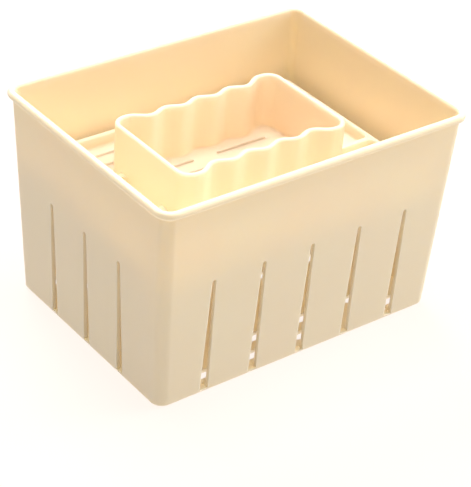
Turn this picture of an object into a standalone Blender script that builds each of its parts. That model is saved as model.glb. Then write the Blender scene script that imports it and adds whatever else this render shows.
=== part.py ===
"""Soft-cheese and bean-curd press mould: a slotted moulded box and the press plate
that slides down inside it. Metres, +Z up, origin under the middle of the box.
Long side along X, so the five-slot walls face -Y and +Y."""
import math

import bmesh
import bpy
from mathutils import Vector

# --- mould box -------------------------------------------------------------
RIM_LENGTH = 0.135            # over the rim bead, along X
RIM_WIDTH = 0.102             # over the rim bead, along Y
HEIGHT = 0.084                # ground to the top of the rim bead
BEAD_RADIUS = 0.0015
BEAD_OVERHANG = 0.0018        # how far the bead stands out past the wall
BEAD_DEPTH = 0.0036           # from its top down to where it dies into the wall
WALL = 0.0016
TAPER_X = 0.0033              # the foot is this much further in than the top, per side
TAPER_Y = 0.0036
CORNER_RADIUS = 0.0046
FOOT_FILLET = 0.0012          # round edge under the walls
FLOOR_THICKNESS = 0.0014

# --- slots in the box walls --------------------------------------------------
WALL_SLOT_PITCH = 0.0214
LONG_WALL_SLOTS = 5
SHORT_WALL_SLOTS = 3
WALL_SLOT_TOP = 0.0495
WALL_SLOT_FOOT = 0.0012       # just under the floor's upper face, so that whey runs out
WALL_SLOT_WIDTH_TOP = 0.0018
WALL_SLOT_WIDTH_FOOT = 0.0037

# --- drain slots in the floor: two rows along each long wall, one in the middle ---
FLOOR_SLOT_WIDTH = 0.0040
OUTER_ROWS_Y = (0.0302, 0.0385)                        # mirrored to -Y
OUTER_ROW_SPANS = ((0.003, 0.024), (0.034, 0.055))     # mirrored to -X
MIDDLE_ROW_SPAN = (0.016, 0.047)                       # mirrored to -X

# --- press plate -------------------------------------------------------------
PLATE_LENGTH = 0.118
PLATE_WIDTH = 0.0836
PLATE_THICKNESS = 0.0018
PLATE_CORNER_RADIUS = 0.0045
LIP_HEIGHT = 0.0048           # above the plate's upper face
LIP_THICKNESS = 0.0020
PLATE_UNDERSIDE_AT_REST = 0.0509
PLATE_OFFSET = Vector((-0.0011, 0.0018))   # it lies loose, a little off centre

# --- hollow grip with two wavy sides -----------------------------------------
GRIP_HEIGHT = 0.0220          # above the plate's upper face
GRIP_THICKNESS = 0.0018
GRIP_HALF_LENGTH = 0.0362     # to the middle of the end walls
GRIP_END_HALF_WIDTH = 0.0227  # to the middle of the long walls at their ends
GRIP_CORNER_RADIUS = 0.0050
WAVE_LENGTH = 0.0142
WAVE_PEAK = 0.0212            # half widths of the wavy stretch
WAVE_TROUGH = 0.0190
WAVY_HALF_LENGTH = 1.5 * WAVE_LENGTH       # outermost trough
SHOULDER_LENGTH = 0.0085      # from that trough out to the full half width
RIB_Y = 0.0126                # short ribs from the grip's end walls to the lip
RIB_THICKNESS = 0.0018
RIB_DROP = 0.0003             # rib top below the lip's top

# --- drain slots in the press plate ------------------------------------------
PLATE_SLOT_WIDTH = 0.0014
PLATE_ROW_PITCH = 0.0069
INNER_SPAN = (0.0052, 0.0281)              # mirrored to -X, inside the grip
END_SPAN = (0.0430, 0.0530)                # mirrored to -X, beyond the grip
SIDE_SPANS = ((-0.015, 0.015), (0.021, 0.051))

CORNER_STEPS = 6
SIDE_STEPS = 56               # along each wavy side
OVERCUT = 0.001               # how far cutters run past what they cut
BITE = 0.0005                 # how far joined shapes run into each other

CREAM = (0.85, 0.68, 0.42, 1.0)


def clear_scene():
    for old in list(bpy.data.objects):
        bpy.data.objects.remove(old, do_unlink=True)


def plastic(name):
    material = bpy.data.materials.new(name)
    material.use_nodes = True
    shader = material.node_tree.nodes["Principled BSDF"]
    shader.inputs["Base Color"].default_value = CREAM
    shader.inputs["Roughness"].default_value = 0.42
    shader.inputs["Metallic"].default_value = 0.0
    return material


def rounded_rectangle(half_x, half_y, radius, steps=CORNER_STEPS):
    """Points of a rounded rectangle, anticlockwise from the +X side's start."""
    points = []
    for corner, (sign_x, sign_y) in enumerate(((1, 1), (-1, 1), (-1, -1), (1, -1))):
        centre = Vector((sign_x * (half_x - radius), sign_y * (half_y - radius)))
        for step in range(steps + 1):
            angle = math.radians(90) * (corner + step / steps)
            points.append(centre + radius * Vector((math.cos(angle), math.sin(angle))))
    return points


def loft(mesh, rings, closed):
    """Join rings of (outline, z) with quads. An open loft gets a cap at both ends."""
    rows = [[mesh.verts.new((point.x, point.y, z)) for point in outline] for outline, z in rings]
    pairs = list(zip(rows, rows[1:]))
    if closed:
        pairs.append((rows[-1], rows[0]))
    for lower, upper in pairs:
        count = len(lower)
        for i in range(count):
            j = (i + 1) % count
            mesh.faces.new((lower[i], lower[j], upper[j], upper[i]))
    if not closed:
        mesh.faces.new(rows[0][::-1])
        mesh.faces.new(rows[-1])


def add_prism(mesh, outline, low, high):
    """An upright prism of a flat outline between two heights."""
    loft(mesh, [(outline, low), (outline, high)], closed=False)


def slot_outline(x_low, x_high, y, width):
    """A slot along X with round ends."""
    half = width / 2
    points = []
    for x, start in ((x_high - half, -90), (x_low + half, 90)):
        for step in range(CORNER_STEPS + 1):
            angle = math.radians(start + 180 * step / CORNER_STEPS)
            points.append(Vector((x + half * math.cos(angle), y + half * math.sin(angle))))
    return points


def make_object(name, mesh, material=None):
    bmesh.ops.recalc_face_normals(mesh, faces=mesh.faces)
    data = bpy.data.meshes.new(name)
    mesh.to_mesh(data)
    mesh.free()
    thing = bpy.data.objects.new(name, data)
    bpy.context.collection.objects.link(thing)
    if material:
        data.materials.append(material)
    else:
        thing.hide_render = True
        thing.display_type = 'WIRE'
    return thing


def add_boolean(thing, other, operation):
    modifier = thing.modifiers.new(other.name, 'BOOLEAN')
    modifier.operation = operation
    modifier.solver = 'EXACT'
    modifier.object = other


def wall_half_sizes(z):
    """Outer half sizes of the box wall at a height."""
    drop = 1 - z / (HEIGHT - BEAD_RADIUS)
    half_x = RIM_LENGTH / 2 - BEAD_OVERHANG - TAPER_X * drop
    half_y = RIM_WIDTH / 2 - BEAD_OVERHANG - TAPER_Y * drop
    return half_x, half_y


def box_ring(z, inset):
    half_x, half_y = wall_half_sizes(z)
    return rounded_rectangle(half_x - inset, half_y - inset, CORNER_RADIUS - inset), z


def bead_rings():
    """Rings over the round rim bead, from the outside, over the top, to the inside."""
    centre_z = HEIGHT - BEAD_RADIUS
    centre_inset = BEAD_RADIUS - BEAD_OVERHANG
    rings = []
    for degrees in range(-60, 181, 30):
        angle = math.radians(degrees)
        outline, _ = box_ring(centre_z, centre_inset - BEAD_RADIUS * math.cos(angle))
        rings.append((outline, centre_z + BEAD_RADIUS * math.sin(angle)))
    return rings


def foot_rings():
    """Rings round the box's lower edge, from the underside up to the wall."""
    rings = []
    for degrees in range(0, 91, 30):
        angle = math.radians(degrees)
        inset = FOOT_FILLET * (1 - math.sin(angle))
        rings.append(box_ring(FOOT_FILLET * (1 - math.cos(angle)), inset))
    return rings


def box_body(material):
    """The walls, floor and rim bead, as one shell with a cap on each side of its floor."""
    mesh = bmesh.new()
    under_bead = HEIGHT - BEAD_DEPTH
    rings = foot_rings() + [box_ring(under_bead, 0.0)] + bead_rings()
    rings += [box_ring(under_bead, WALL), box_ring(FLOOR_THICKNESS, WALL)]
    loft(mesh, rings, closed=False)
    return make_object("mould_box", mesh, material)


def wall_slot(mesh, along, across, long_wall):
    """One wedge-shaped slot cutter with a round top, through one wall."""
    outline = []
    half_top = WALL_SLOT_WIDTH_TOP / 2
    half_foot = WALL_SLOT_WIDTH_FOOT / 2
    arc_centre = WALL_SLOT_TOP - half_top
    for step in range(CORNER_STEPS + 1):
        angle = math.radians(180 * step / CORNER_STEPS)
        outline.append((along + half_top * math.cos(angle), arc_centre + half_top * math.sin(angle)))
    outline += [(along - half_foot, WALL_SLOT_FOOT), (along + half_foot, WALL_SLOT_FOOT)]
    sides = []
    for depth in across:
        if long_wall:
            sides.append([mesh.verts.new((u, depth, z)) for u, z in outline])
        else:
            sides.append([mesh.verts.new((depth, u, z)) for u, z in outline])
    count = len(outline)
    for i in range(count):
        j = (i + 1) % count
        mesh.faces.new((sides[0][i], sides[0][j], sides[1][j], sides[1][i]))
    mesh.faces.new(sides[0][::-1])
    mesh.faces.new(sides[1])


def row_places(count, pitch):
    return [(i - (count - 1) / 2) * pitch for i in range(count)]


def wall_slot_cutter():
    mesh = bmesh.new()
    foot_x, foot_y = wall_half_sizes(0.0)
    top_x, top_y = wall_half_sizes(WALL_SLOT_TOP)
    for sign in (-1, 1):
        depth_y = (sign * (foot_y - WALL - BITE), sign * (top_y + OVERCUT))
        for place in row_places(LONG_WALL_SLOTS, WALL_SLOT_PITCH):
            wall_slot(mesh, place, depth_y, long_wall=True)
        depth_x = (sign * (foot_x - WALL - BITE), sign * (top_x + OVERCUT))
        for place in row_places(SHORT_WALL_SLOTS, WALL_SLOT_PITCH):
            wall_slot(mesh, place, depth_x, long_wall=False)
    return make_object("wall_slot_cutter", mesh)


def mirrored(spans):
    """Add each span's mirror image, except for spans that cross the middle."""
    return list(spans) + [(-high, -low) for low, high in spans if low > 0]


def floor_cutter():
    rows = [(side * y, OUTER_ROW_SPANS) for side in (-1, 1) for y in OUTER_ROWS_Y]
    rows.append((0.0, [MIDDLE_ROW_SPAN]))
    mesh = bmesh.new()
    for y, spans in rows:
        for low, high in mirrored(spans):
            outline = slot_outline(low, high, y, FLOOR_SLOT_WIDTH)
            add_prism(mesh, outline, -OVERCUT, FLOOR_THICKNESS + OVERCUT)
    return make_object("floor_slot_cutter", mesh)


def plate_body(material):
    """The plate with its upstanding lip. Its origin is at the middle of its underside."""
    mesh = bmesh.new()
    outer, inner = [
        rounded_rectangle(PLATE_LENGTH / 2 - inset, PLATE_WIDTH / 2 - inset, PLATE_CORNER_RADIUS - inset)
        for inset in (0.0, LIP_THICKNESS)
    ]
    top = PLATE_THICKNESS + LIP_HEIGHT
    loft(mesh, [(outer, 0.0), (outer, top), (inner, top), (inner, PLATE_THICKNESS)], closed=False)
    return make_object("press_plate", mesh, material)


def grip_half_width(x):
    """Half width of the grip's wavy side at a distance from its middle."""
    x = abs(x)
    mean = (WAVE_PEAK + WAVE_TROUGH) / 2
    if x <= WAVY_HALF_LENGTH:
        return mean + (WAVE_PEAK - WAVE_TROUGH) / 2 * math.cos(2 * math.pi * x / WAVE_LENGTH)
    rise = min((x - WAVY_HALF_LENGTH) / SHOULDER_LENGTH, 1.0)
    return WAVE_TROUGH + (GRIP_END_HALF_WIDTH - WAVE_TROUGH) * (1 - math.cos(math.pi * rise)) / 2


def grip_centre_line():
    """Plan of the middle of the grip's wall, anticlockwise."""
    straight_end = GRIP_HALF_LENGTH - GRIP_CORNER_RADIUS
    side = [straight_end * (1 - 2 * i / SIDE_STEPS) for i in range(SIDE_STEPS + 1)]
    half = [Vector((x, grip_half_width(x))) for x in side]
    centre = Vector((-straight_end, GRIP_END_HALF_WIDTH - GRIP_CORNER_RADIUS))
    for step in range(1, CORNER_STEPS + 1):
        angle = math.radians(90 + 90 * step / CORNER_STEPS)
        half.append(centre + GRIP_CORNER_RADIUS * Vector((math.cos(angle), math.sin(angle))))
    lower_corner = [Vector((-point.x, point.y)) for point in reversed(half[SIDE_STEPS + 1:])]
    top = lower_corner + half
    return top + [-point for point in top]


def offset_outline(points, distance):
    """Move each point of an anticlockwise outline outwards."""
    moved = []
    for i, point in enumerate(points):
        along = (points[(i + 1) % len(points)] - points[i - 1]).normalized()
        moved.append(point + distance * Vector((along.y, -along.x)))
    return moved


def grip_ring():
    mesh = bmesh.new()
    middle = grip_centre_line()
    outer = offset_outline(middle, GRIP_THICKNESS / 2)
    inner = offset_outline(middle, -GRIP_THICKNESS / 2)
    low = PLATE_THICKNESS - BITE
    high = PLATE_THICKNESS + GRIP_HEIGHT
    loft(mesh, [(outer, low), (outer, high), (inner, high), (inner, low)], closed=True)
    return make_object("grip_shape", mesh)


def end_ribs():
    """The four short ribs, a little lower than the lip that they run into."""
    mesh = bmesh.new()
    half_length = (PLATE_LENGTH / 2 - LIP_THICKNESS - GRIP_HALF_LENGTH) / 2 + BITE
    middle_x = GRIP_HALF_LENGTH + half_length - BITE
    half = RIB_THICKNESS / 2
    for x in (-middle_x, middle_x):
        for y in (-RIB_Y, RIB_Y):
            corners = ((-half_length, -half), (half_length, -half), (half_length, half), (-half_length, half))
            outline = [Vector((x + dx, y + dy)) for dx, dy in corners]
            add_prism(mesh, outline, PLATE_THICKNESS - BITE, PLATE_THICKNESS + LIP_HEIGHT - RIB_DROP)
    return make_object("rib_shape", mesh)


def plate_rows():
    """Every drain slot of the press plate, as (row number, span)."""
    slots = []
    for row in (-5, -4, 4, 5):
        slots += [(row, span) for span in mirrored(SIDE_SPANS)]
    for row in (-3, -1, 0, 1, 3):
        slots += [(row, span) for span in mirrored([END_SPAN])]
    for row in range(-2, 3):
        slots += [(row, span) for span in mirrored([INNER_SPAN])]
    return slots


def plate_cutter():
    mesh = bmesh.new()
    for row, (low, high) in plate_rows():
        outline = slot_outline(low, high, row * PLATE_ROW_PITCH, PLATE_SLOT_WIDTH)
        add_prism(mesh, outline, -OVERCUT, PLATE_THICKNESS + OVERCUT)
    return make_object("plate_slot_cutter", mesh)


def build_box():
    box = box_body(plastic("mould_plastic"))
    add_boolean(box, wall_slot_cutter(), 'DIFFERENCE')
    add_boolean(box, floor_cutter(), 'DIFFERENCE')


def build_press():
    plate = plate_body(plastic("press_plastic"))
    shapes = [(grip_ring(), 'UNION'), (end_ribs(), 'UNION'), (plate_cutter(), 'DIFFERENCE')]
    for shape, operation in shapes:
        shape.parent = plate
        add_boolean(plate, shape, operation)
    plate.location = (PLATE_OFFSET.x, PLATE_OFFSET.y, PLATE_UNDERSIDE_AT_REST)


clear_scene()
build_box()
build_press()
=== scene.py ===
"""Looks of the cheese press mould: cream moulded plastic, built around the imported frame."""
import math

import bmesh
import bpy
from mathutils import Matrix, Vector


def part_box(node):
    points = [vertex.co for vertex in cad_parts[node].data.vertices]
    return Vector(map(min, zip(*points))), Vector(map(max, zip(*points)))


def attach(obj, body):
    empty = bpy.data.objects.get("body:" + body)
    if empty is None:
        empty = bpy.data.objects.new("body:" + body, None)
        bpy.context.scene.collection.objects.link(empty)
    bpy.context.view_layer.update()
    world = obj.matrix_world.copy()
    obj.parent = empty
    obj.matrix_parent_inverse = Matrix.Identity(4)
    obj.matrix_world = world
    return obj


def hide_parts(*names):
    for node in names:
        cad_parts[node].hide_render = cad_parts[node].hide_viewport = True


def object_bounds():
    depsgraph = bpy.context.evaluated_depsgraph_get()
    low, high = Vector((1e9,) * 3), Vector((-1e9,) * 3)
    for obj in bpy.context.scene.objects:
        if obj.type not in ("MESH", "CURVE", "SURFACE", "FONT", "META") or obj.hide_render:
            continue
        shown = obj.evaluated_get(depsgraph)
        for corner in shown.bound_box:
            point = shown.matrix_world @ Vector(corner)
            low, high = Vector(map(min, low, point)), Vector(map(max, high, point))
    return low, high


# --- camera: the photograph's viewpoint, about the middle of the object ------
CAMERA_AZIMUTH = -39.07       # degrees, 0 looks along +Y
CAMERA_ELEVATION = 33.33
CAMERA_ROLL = 4.29
CAMERA_DISTANCE = 0.6758
CAMERA_LENS = 134.6           # millimetres on a 36 mm sensor
CAMERA_AIM = Vector((-0.0017, -0.0067, 0.0268))

# --- studio: four softboxes, those behind and beside the box shine through its walls ---
SOFTBOX_SIZE = 0.8
LIGHT_COLOUR = (1.06, 1.0, 0.96)
LIGHT_AIM = Vector((0, 0, 0.04))
SOFTBOXES = {                 # place and watts
    "top_softbox": (Vector((0, 0, 1.2)), 14.5),
    "front_softbox": (Vector((0, -0.9, 0.9)), 0.8),
    "right_softbox": (Vector((1.2, -0.3, 0.7)), 12.5),
    "back_softbox": (Vector((0.2, 1.0, 0.9)), 15.0),
}
WORLD_STRENGTH = 0.04
FLOOR_GLOW = 0.92             # the table is lit from below, so the ground stays white under the box
FLOOR_GLOW_COLOUR = (1.0, 0.905, 0.84)
FLOOR_COLOUR = (0.15, 0.15, 0.15)
FLOOR_HALF_SIZE = 3.0
FLOOR_GAP = 0.0001            # keeps the table's face off the underside

# --- mould box, as in the CAD -------------------------------------------------
BEAD_RADIUS = 0.0015
BEAD_OVERHANG = 0.0018
BEAD_DEPTH = 0.0036
WALL = 0.0016
TAPER_X = 0.0033
TAPER_Y = 0.0036
CORNER_RADIUS = 0.0046
FOOT_FILLET = 0.0012
FLOOR_THICKNESS = 0.0014
FLOOR_FILLET = 0.0005         # inside, where the walls meet the floor
WALL_SLOT_PITCH = 0.0214
LONG_WALL_SLOTS = 5
SHORT_WALL_SLOTS = 3
WALL_SLOT_TOP = 0.0495
WALL_SLOT_FOOT = 0.0012
WALL_SLOT_WIDTH_TOP = 0.0018
WALL_SLOT_WIDTH_FOOT = 0.0037
FLOOR_SLOT_WIDTH = 0.0040
OUTER_ROWS_Y = (0.0302, 0.0385)
OUTER_ROW_SPANS = ((0.003, 0.024), (0.034, 0.055))
MIDDLE_ROW_SPAN = (0.016, 0.047)

# --- press plate, as in the CAD -----------------------------------------------
PLATE_THICKNESS = 0.0018
PLATE_CORNER_RADIUS = 0.0045
LIP_HEIGHT = 0.0048
LIP_THICKNESS = 0.0020
LIP_FILLET = 0.0010
PLATE_FOOT = 0.0004           # chamfer round the plate's underside
GRIP_HEIGHT = 0.0220
GRIP_THICKNESS = 0.0018
GRIP_FILLET = 0.0009
GRIP_HALF_LENGTH = 0.0362
GRIP_END_HALF_WIDTH = 0.0227
GRIP_CORNER_RADIUS = 0.0050
WAVE_LENGTH = 0.0142
WAVE_PEAK = 0.0212
WAVE_TROUGH = 0.0190
WAVY_HALF_LENGTH = 1.5 * WAVE_LENGTH
SHOULDER_LENGTH = 0.0085
RIB_Y = 0.0126
RIB_THICKNESS = 0.0018
RIB_DROP = 0.0003
RIB_FILLET = 0.0020           # in plan, where a rib runs into the lip and the grip
PLATE_SLOT_WIDTH = 0.0014
PLATE_ROW_PITCH = 0.0069
INNER_SPAN = (0.0052, 0.0281)
END_SPAN = (0.0430, 0.0530)
SIDE_SPANS = ((-0.015, 0.015), (0.021, 0.051))

# --- plastic --------------------------------------------------------------------
MOULD_COLOUR = (0.950, 0.825, 0.628)
# painted shade: the press is the same cream plastic as the mould, but its colour is set deeper and
# more orange to stand for the warm shaded light inside the box
PRESS_COLOUR_WITH_PAINTED_SHADE = (0.940, 0.740, 0.545)
MOULD_LIGHT_REACH = 0.0017    # how far light spreads inside the wall
PRESS_LIGHT_REACH = 0.0055
MOULD_SEED = 0.0              # shifts the noise, so that the two mouldings differ
PRESS_SEED = 3.7
PLASTIC_IOR = 1.49
CLOUD_SCALE = 38.0            # slow variation of colour and gloss, per metre
CLOUD_DETAIL = 4.0
CLOUD_RANGE = (0.3, 0.7)
CLOUD_TINT = (0.99, 1.01)
GLOSS_RANGE = (0.36, 0.50)
GRAIN_SCALE = 1400.0          # fine moulded surface, per metre
GRAIN_DETAIL = 2.0
GRAIN_STRENGTH = 0.12
GRAIN_DEPTH = 0.00006

# --- mesh quality ---------------------------------------------------------------
CORNER_STEPS = 14
ARC_STEPS = 8
SIDE_STEPS = 168              # along each wavy side of the grip
OVERCUT = 0.001
BITE = 0.0005
EDGE_ROUNDING = 0.00022       # moulded edges are never quite sharp
EDGE_SEGMENTS = 2
SHARP_ANGLE = math.radians(35)
FLAT_ANGLE = math.radians(0.05)
MERGE_DISTANCE = 0.000002

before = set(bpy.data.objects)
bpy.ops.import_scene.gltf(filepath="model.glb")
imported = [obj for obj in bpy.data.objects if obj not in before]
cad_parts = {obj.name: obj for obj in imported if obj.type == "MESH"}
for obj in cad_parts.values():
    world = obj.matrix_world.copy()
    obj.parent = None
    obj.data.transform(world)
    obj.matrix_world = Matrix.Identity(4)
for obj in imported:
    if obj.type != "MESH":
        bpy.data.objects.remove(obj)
cad_low, cad_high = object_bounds()


# =============================== outlines and lofts ===============================

def arc(start, end, steps):
    """Angles in radians from start to end, both in degrees and both included."""
    return [math.radians(start + (end - start) * i / steps) for i in range(steps + 1)]


def rounded_rectangle(half_x, half_y, radius):
    """Points of a rounded rectangle, anticlockwise from the +X side's start."""
    points = []
    for corner, (sign_x, sign_y) in enumerate(((1, 1), (-1, 1), (-1, -1), (1, -1))):
        centre = Vector((sign_x * (half_x - radius), sign_y * (half_y - radius)))
        for angle in arc(90 * corner, 90 * corner + 90, CORNER_STEPS):
            points.append(centre + radius * Vector((math.cos(angle), math.sin(angle))))
    return points


def loft(mesh, rings, closed=False):
    """Join rings of (outline, z) with quads. An open loft gets a cap at both ends."""
    rows = [[mesh.verts.new((point.x, point.y, z)) for point in outline] for outline, z in rings]
    pairs = list(zip(rows, rows[1:]))
    if closed:
        pairs.append((rows[-1], rows[0]))
    for lower, upper in pairs:
        for i in range(len(lower)):
            j = (i + 1) % len(lower)
            mesh.faces.new((lower[i], lower[j], upper[j], upper[i]))
    if not closed:
        mesh.faces.new(rows[0][::-1])
        mesh.faces.new(rows[-1])


def add_prism(mesh, outline, low, high):
    loft(mesh, [(outline, low), (outline, high)])


def slot_outline(x_low, x_high, y, width):
    """A slot along X with round ends."""
    half = width / 2
    points = []
    for x, start in ((x_high - half, -90), (x_low + half, 90)):
        for angle in arc(start, start + 180, ARC_STEPS):
            points.append(Vector((x + half * math.cos(angle), y + half * math.sin(angle))))
    return points


def offset_outline(points, distance):
    """Move each point of an anticlockwise outline outwards."""
    moved = []
    for i, point in enumerate(points):
        along = (points[(i + 1) % len(points)] - points[i - 1]).normalized()
        moved.append(point + distance * Vector((along.y, -along.x)))
    return moved


def mirrored(spans):
    """Add each span's mirror image, except for spans that cross the middle."""
    return list(spans) + [(-high, -low) for low, high in spans if low > 0]


def row_places(count, pitch):
    return [(i - (count - 1) / 2) * pitch for i in range(count)]


def make_object(name, mesh):
    bmesh.ops.recalc_face_normals(mesh, faces=mesh.faces)
    data = bpy.data.meshes.new(name)
    mesh.to_mesh(data)
    mesh.free()
    thing = bpy.data.objects.new(name, data)
    bpy.context.scene.collection.objects.link(thing)
    return thing


def carve(thing, others):
    """Join or cut thing with each (object, operation) in turn, and keep only the result."""
    for other, operation in others:
        modifier = thing.modifiers.new(other.name, 'BOOLEAN')
        modifier.operation = operation
        modifier.solver = 'EXACT'
        modifier.object = other
    bpy.context.view_layer.update()
    evaluated = thing.evaluated_get(bpy.context.evaluated_depsgraph_get())
    result = bpy.data.meshes.new_from_object(evaluated)
    thing.modifiers.clear()
    thing.data = result
    for other, _ in others:
        bpy.data.objects.remove(other, do_unlink=True)


def finish_moulding(thing):
    """Clean the cut mesh, round its edges a little and shade it as a moulding."""
    mesh = bmesh.new()
    mesh.from_mesh(thing.data)
    bmesh.ops.remove_doubles(mesh, verts=mesh.verts, dist=MERGE_DISTANCE)
    bmesh.ops.dissolve_limit(mesh, angle_limit=FLAT_ANGLE, verts=mesh.verts, edges=mesh.edges)
    mesh.to_mesh(thing.data)
    mesh.free()
    rounding = thing.modifiers.new("edge_rounding", 'BEVEL')
    rounding.width = EDGE_ROUNDING
    rounding.segments = EDGE_SEGMENTS
    rounding.limit_method = 'ANGLE'
    rounding.angle_limit = SHARP_ANGLE
    rounding.miter_outer = 'MITER_ARC'
    thing.data.shade_smooth()
    normals = thing.modifiers.new("flat_faces_flat", 'WEIGHTED_NORMAL')
    normals.keep_sharp = True
    normals.weight = 100


# ================================== mould box ==================================

def wall_half_sizes(z):
    """Outer half sizes of the box wall at a height."""
    drop = 1 - z / (cad_high.z - BEAD_RADIUS)
    return cad_high.x - BEAD_OVERHANG - TAPER_X * drop, cad_high.y - BEAD_OVERHANG - TAPER_Y * drop


def box_ring(z, inset):
    half_x, half_y = wall_half_sizes(z)
    return rounded_rectangle(half_x - inset, half_y - inset, CORNER_RADIUS - inset), z


def box_rings():
    """From the underside, round the foot, up the wall, over the bead and down to the floor."""
    rings = []
    for angle in arc(0, 90, ARC_STEPS):
        rise = FOOT_FILLET * (1 - math.cos(angle))
        rings.append(box_ring(rise, FOOT_FILLET * (1 - math.sin(angle))))
    rings.append(box_ring(cad_high.z - BEAD_DEPTH, 0.0))
    centre_z = cad_high.z - BEAD_RADIUS
    centre_inset = BEAD_RADIUS - BEAD_OVERHANG
    for angle in arc(-60, 180, 3 * ARC_STEPS):
        outline, _ = box_ring(centre_z, centre_inset - BEAD_RADIUS * math.cos(angle))
        rings.append((outline, centre_z + BEAD_RADIUS * math.sin(angle)))
    rings.append(box_ring(cad_high.z - BEAD_DEPTH, WALL))
    for angle in arc(0, 90, ARC_STEPS):
        z = FLOOR_THICKNESS + FLOOR_FILLET * (1 - math.sin(angle))
        rings.append(box_ring(z, WALL + FLOOR_FILLET * (1 - math.cos(angle))))
    return rings


def add_wall_slot(mesh, along, across, long_wall):
    """One wedge-shaped slot cutter with a round top, through one wall."""
    half_top = WALL_SLOT_WIDTH_TOP / 2
    half_foot = WALL_SLOT_WIDTH_FOOT / 2
    outline = []
    for angle in arc(0, 180, ARC_STEPS):
        rise = WALL_SLOT_TOP - half_top * (1 - math.sin(angle))
        outline.append((along + half_top * math.cos(angle), rise))
    outline += [(along - half_foot, WALL_SLOT_FOOT), (along + half_foot, WALL_SLOT_FOOT)]
    sides = []
    for depth in across:
        places = [(u, depth, z) if long_wall else (depth, u, z) for u, z in outline]
        sides.append([mesh.verts.new(place) for place in places])
    for i in range(len(outline)):
        j = (i + 1) % len(outline)
        mesh.faces.new((sides[0][i], sides[0][j], sides[1][j], sides[1][i]))
    mesh.faces.new(sides[0][::-1])
    mesh.faces.new(sides[1])


def wall_slots():
    mesh = bmesh.new()
    foot_x, foot_y = wall_half_sizes(0.0)
    top_x, top_y = wall_half_sizes(WALL_SLOT_TOP)
    depth = WALL + FLOOR_FILLET + BITE
    for sign in (-1, 1):
        for place in row_places(LONG_WALL_SLOTS, WALL_SLOT_PITCH):
            add_wall_slot(mesh, place, (sign * (foot_y - depth), sign * (top_y + OVERCUT)), True)
        for place in row_places(SHORT_WALL_SLOTS, WALL_SLOT_PITCH):
            add_wall_slot(mesh, place, (sign * (foot_x - depth), sign * (top_x + OVERCUT)), False)
    return make_object("wall_slots", mesh)


def floor_slots():
    rows = [(side * y, OUTER_ROW_SPANS) for side in (-1, 1) for y in OUTER_ROWS_Y]
    rows.append((0.0, [MIDDLE_ROW_SPAN]))
    mesh = bmesh.new()
    for y, spans in rows:
        for low, high in mirrored(spans):
            outline = slot_outline(low, high, y, FLOOR_SLOT_WIDTH)
            add_prism(mesh, outline, -OVERCUT, FLOOR_THICKNESS + OVERCUT)
    return make_object("floor_slots", mesh)


def build_box():
    mesh = bmesh.new()
    loft(mesh, box_rings())
    box = make_object("box_moulding", mesh)
    carve(box, [(wall_slots(), 'DIFFERENCE'), (floor_slots(), 'DIFFERENCE')])
    finish_moulding(box)
    return box


# ================================= press plate =================================

def plate_ring(inset, z, half_x, half_y):
    return rounded_rectangle(half_x - inset, half_y - inset, PLATE_CORNER_RADIUS - inset), z


def plate_rings(half_x, half_y):
    """From the underside, up the lip, over its round top and down to the plate's upper face."""
    top = PLATE_THICKNESS + LIP_HEIGHT
    crown = LIP_THICKNESS / 2
    rings = [(PLATE_FOOT, 0.0), (0.0, PLATE_FOOT)]
    for angle in arc(0, 180, ARC_STEPS):
        rings.append((crown * (1 - math.cos(angle)), top - crown * (1 - math.sin(angle))))
    for angle in arc(0, 90, ARC_STEPS):
        rings.append((LIP_THICKNESS + LIP_FILLET * (1 - math.cos(angle)),
                      PLATE_THICKNESS + LIP_FILLET * (1 - math.sin(angle))))
    return [plate_ring(inset, z, half_x, half_y) for inset, z in rings]


def grip_half_width(x):
    """Half width of the grip's wavy side at a distance from its middle."""
    x = abs(x)
    mean = (WAVE_PEAK + WAVE_TROUGH) / 2
    if x <= WAVY_HALF_LENGTH:
        return mean + (WAVE_PEAK - WAVE_TROUGH) / 2 * math.cos(2 * math.pi * x / WAVE_LENGTH)
    rise = min((x - WAVY_HALF_LENGTH) / SHOULDER_LENGTH, 1.0)
    return WAVE_TROUGH + (GRIP_END_HALF_WIDTH - WAVE_TROUGH) * (1 - math.cos(math.pi * rise)) / 2


def grip_centre_line():
    """Plan of the middle of the grip's wall, anticlockwise."""
    straight_end = GRIP_HALF_LENGTH - GRIP_CORNER_RADIUS
    side = [straight_end * (1 - 2 * i / SIDE_STEPS) for i in range(SIDE_STEPS + 1)]
    half = [Vector((x, grip_half_width(x))) for x in side]
    centre = Vector((-straight_end, GRIP_END_HALF_WIDTH - GRIP_CORNER_RADIUS))
    for angle in arc(90, 180, CORNER_STEPS)[1:]:
        half.append(centre + GRIP_CORNER_RADIUS * Vector((math.cos(angle), math.sin(angle))))
    lower_corner = [Vector((-point.x, point.y)) for point in reversed(half[SIDE_STEPS + 1:])]
    top = lower_corner + half
    return top + [-point for point in top]


def grip_wall():
    """The grip's wall with a flared foot outside and inside and a full round rim."""
    mesh = bmesh.new()
    middle = grip_centre_line()
    half = GRIP_THICKNESS / 2
    top = PLATE_THICKNESS + GRIP_HEIGHT
    profile = [(half + GRIP_FILLET, PLATE_THICKNESS - BITE)]
    for angle in arc(90, 0, ARC_STEPS):
        profile.append((half + GRIP_FILLET * (1 - math.cos(angle)),
                        PLATE_THICKNESS + GRIP_FILLET * (1 - math.sin(angle))))
    for angle in arc(0, 90, ARC_STEPS):
        profile.append((half * math.cos(angle), top - half * (1 - math.sin(angle))))
    inner = [(-distance, z) for distance, z in reversed(profile[:-1])]
    rings = [(offset_outline(middle, distance), z) for distance, z in profile + inner]
    loft(mesh, rings, closed=True)
    return make_object("grip_wall", mesh)


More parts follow.
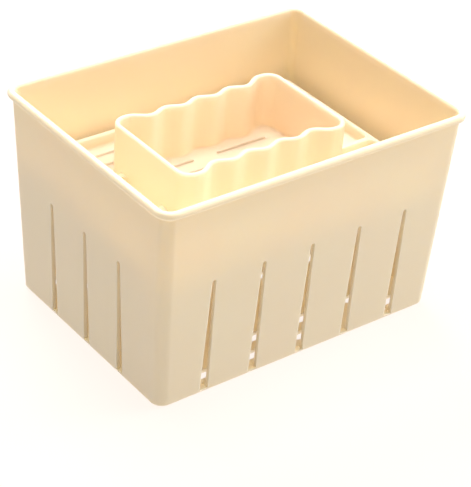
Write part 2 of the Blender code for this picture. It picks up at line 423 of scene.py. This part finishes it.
def rib_outline(middle, half_length):
    """Plan of one rib. Its ends spread into round corners."""
    half = RIB_THICKNESS / 2
    start = half_length - BITE - RIB_FILLET
    quarter = []
    for angle in arc(90, 0, ARC_STEPS):
        quarter.append((start + RIB_FILLET * math.cos(angle),
                        half + RIB_FILLET * (1 - math.sin(angle))))
    quarter.append((half_length, quarter[-1][1]))
    right = [(x, -y) for x, y in quarter] + [(x, y) for x, y in reversed(quarter)]
    left = [(-x, -y) for x, y in right]
    return [middle + Vector(place) for place in right + left]


def end_ribs(half_plate):
    mesh = bmesh.new()
    half_length = (half_plate - LIP_THICKNESS - GRIP_HALF_LENGTH - GRIP_THICKNESS / 2) / 2 + BITE
    middle_x = half_plate - LIP_THICKNESS - half_length + BITE
    for x in (-middle_x, middle_x):
        for y in (-RIB_Y, RIB_Y):
            outline = rib_outline(Vector((x, y)), half_length)
            top = PLATE_THICKNESS + LIP_HEIGHT - RIB_DROP
            add_prism(mesh, outline, PLATE_THICKNESS - BITE, top)
    return make_object("end_ribs", mesh)


def plate_slots():
    """Drain slots of the press plate, row by row."""
    slots = [(row, span) for row in (-5, -4, 4, 5) for span in mirrored(SIDE_SPANS)]
    slots += [(row, span) for row in (-3, -1, 0, 1, 3) for span in mirrored([END_SPAN])]
    slots += [(row, span) for row in range(-2, 3) for span in mirrored([INNER_SPAN])]
    mesh = bmesh.new()
    for row, (low, high) in slots:
        outline = slot_outline(low, high, row * PLATE_ROW_PITCH, PLATE_SLOT_WIDTH)
        add_prism(mesh, outline, -OVERCUT, PLATE_THICKNESS + OVERCUT)
    return make_object("plate_slots", mesh)


def build_press():
    low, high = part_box("press_plate")
    half_x, half_y = (high.x - low.x) / 2, (high.y - low.y) / 2
    mesh = bmesh.new()
    loft(mesh, plate_rings(half_x, half_y))
    press = make_object("press_moulding", mesh)
    carve(press, [(grip_wall(), 'UNION'), (end_ribs(half_x), 'UNION'),
                  (plate_slots(), 'DIFFERENCE')])
    press.data.transform(Matrix.Translation(((low.x + high.x) / 2, (low.y + high.y) / 2, low.z)))
    finish_moulding(press)
    return press


# =================================== materials ===================================

def cream_plastic(name, seed, colour, light_reach):
    """Satin cream polypropylene: slightly cloudy colour, fine moulded grain, light passing in."""
    material = bpy.data.materials.new(name)
    material.use_nodes = True
    tree = material.node_tree
    nodes, links = tree.nodes, tree.links
    shader = nodes["Principled BSDF"]
    shader.inputs["IOR"].default_value = PLASTIC_IOR
    shader.inputs["Subsurface Weight"].default_value = 1.0
    shader.inputs["Subsurface Radius"].default_value = (1.0, 1.0, 1.0)
    shader.inputs["Subsurface Scale"].default_value = light_reach

    place = nodes.new("ShaderNodeTexCoord")
    shift = nodes.new("ShaderNodeMapping")
    shift.inputs["Location"].default_value = (seed, seed, seed)
    links.new(place.outputs["Object"], shift.inputs["Vector"])

    cloud = nodes.new("ShaderNodeTexNoise")
    cloud.inputs["Scale"].default_value = CLOUD_SCALE
    cloud.inputs["Detail"].default_value = CLOUD_DETAIL
    links.new(shift.outputs["Vector"], cloud.inputs["Vector"])
    tint = nodes.new("ShaderNodeValToRGB")
    for stop, position, strength in zip(tint.color_ramp.elements, CLOUD_RANGE, CLOUD_TINT):
        stop.position = position
        stop.color = (*[value * strength for value in colour], 1.0)
    links.new(cloud.outputs["Fac"], tint.inputs["Fac"])
    links.new(tint.outputs["Color"], shader.inputs["Base Color"])

    grain = nodes.new("ShaderNodeTexNoise")
    grain.inputs["Scale"].default_value = GRAIN_SCALE
    grain.inputs["Detail"].default_value = GRAIN_DETAIL
    links.new(shift.outputs["Vector"], grain.inputs["Vector"])
    gloss = nodes.new("ShaderNodeMapRange")
    gloss.inputs["To Min"].default_value = GLOSS_RANGE[0]
    gloss.inputs["To Max"].default_value = GLOSS_RANGE[1]
    links.new(cloud.outputs["Fac"], gloss.inputs["Value"])
    links.new(gloss.outputs["Result"], shader.inputs["Roughness"])
    bump = nodes.new("ShaderNodeBump")
    bump.inputs["Strength"].default_value = GRAIN_STRENGTH
    bump.inputs["Distance"].default_value = GRAIN_DEPTH
    links.new(grain.outputs["Fac"], bump.inputs["Height"])
    links.new(bump.outputs["Normal"], shader.inputs["Normal"])
    return material


def plain_floor():
    material = bpy.data.materials.new("studio_floor")
    material.use_nodes = True
    shader = material.node_tree.nodes["Principled BSDF"]
    shader.inputs["Base Color"].default_value = (*FLOOR_COLOUR, 1.0)
    shader.inputs["Emission Color"].default_value = (*FLOOR_GLOW_COLOUR, 1.0)
    shader.inputs["Emission Strength"].default_value = FLOOR_GLOW
    shader.inputs["Roughness"].default_value = 0.9
    shader.inputs["Specular IOR Level"].default_value = 0.1
    return material


# ================================ studio and camera ================================

def add_floor():
    mesh = bmesh.new()
    bmesh.ops.create_grid(mesh, x_segments=1, y_segments=1, size=FLOOR_HALF_SIZE)
    floor = make_object("floor", mesh)
    floor.location.z = cad_low.z - FLOOR_GAP
    floor.data.materials.append(plain_floor())


def add_lamp(name, place, power):
    light = bpy.data.lights.new(name, 'AREA')
    light.shape = 'SQUARE'
    light.size = SOFTBOX_SIZE
    light.energy = power
    light.color = LIGHT_COLOUR
    lamp = bpy.data.objects.new(name, light)
    lamp.location = place
    lamp.rotation_euler = (LIGHT_AIM - lamp.location).to_track_quat('-Z', 'Y').to_euler()
    bpy.context.scene.collection.objects.link(lamp)


def add_world():
    world = bpy.data.worlds.new("studio")
    world.use_nodes = True
    background = world.node_tree.nodes["Background"]
    background.inputs["Color"].default_value = (1.0, 1.0, 1.0, 1.0)
    background.inputs["Strength"].default_value = WORLD_STRENGTH
    bpy.context.scene.world = world


def add_camera():
    azimuth = math.radians(CAMERA_AZIMUTH)
    elevation = math.radians(CAMERA_ELEVATION)
    back = Vector((math.sin(azimuth) * math.cos(elevation),
                   -math.cos(azimuth) * math.cos(elevation),
                   math.sin(elevation)))
    right = Vector((0, 0, 1)).cross(back).normalized()
    axes = Matrix((right, back.cross(right), back)).transposed()
    data = bpy.data.cameras.new("camera")
    data.sensor_width = 36.0
    data.lens = CAMERA_LENS
    data.clip_start = 0.01
    camera = bpy.data.objects.new("camera", data)
    turn = axes @ Matrix.Rotation(math.radians(CAMERA_ROLL), 3, 'Z')
    camera.matrix_world = Matrix.Translation(CAMERA_AIM + CAMERA_DISTANCE * back) @ turn.to_4x4()
    bpy.context.scene.collection.objects.link(camera)
    bpy.context.scene.camera = camera


add_camera()
add_world()
add_floor()
for name, (place, power) in SOFTBOXES.items():
    add_lamp(name, place, power)
bpy.context.scene.view_settings.view_transform = 'Standard'

box = build_box()
box.data.materials.clear()
plastic = cream_plastic("mould_cream", MOULD_SEED, MOULD_COLOUR, MOULD_LIGHT_REACH)
box.data.materials.append(plastic)
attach(box, "mould")
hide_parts("mould_box")

press = build_press()
press.data.materials.clear()
# the press colour is the mould's plastic made deeper and more orange, painted shade of the box's
# inside
plastic = cream_plastic("press_cream", PRESS_SEED, PRESS_COLOUR_WITH_PAINTED_SHADE, PRESS_LIGHT_REACH)
press.data.materials.append(plastic)
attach(press, "press")
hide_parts("press_plate")
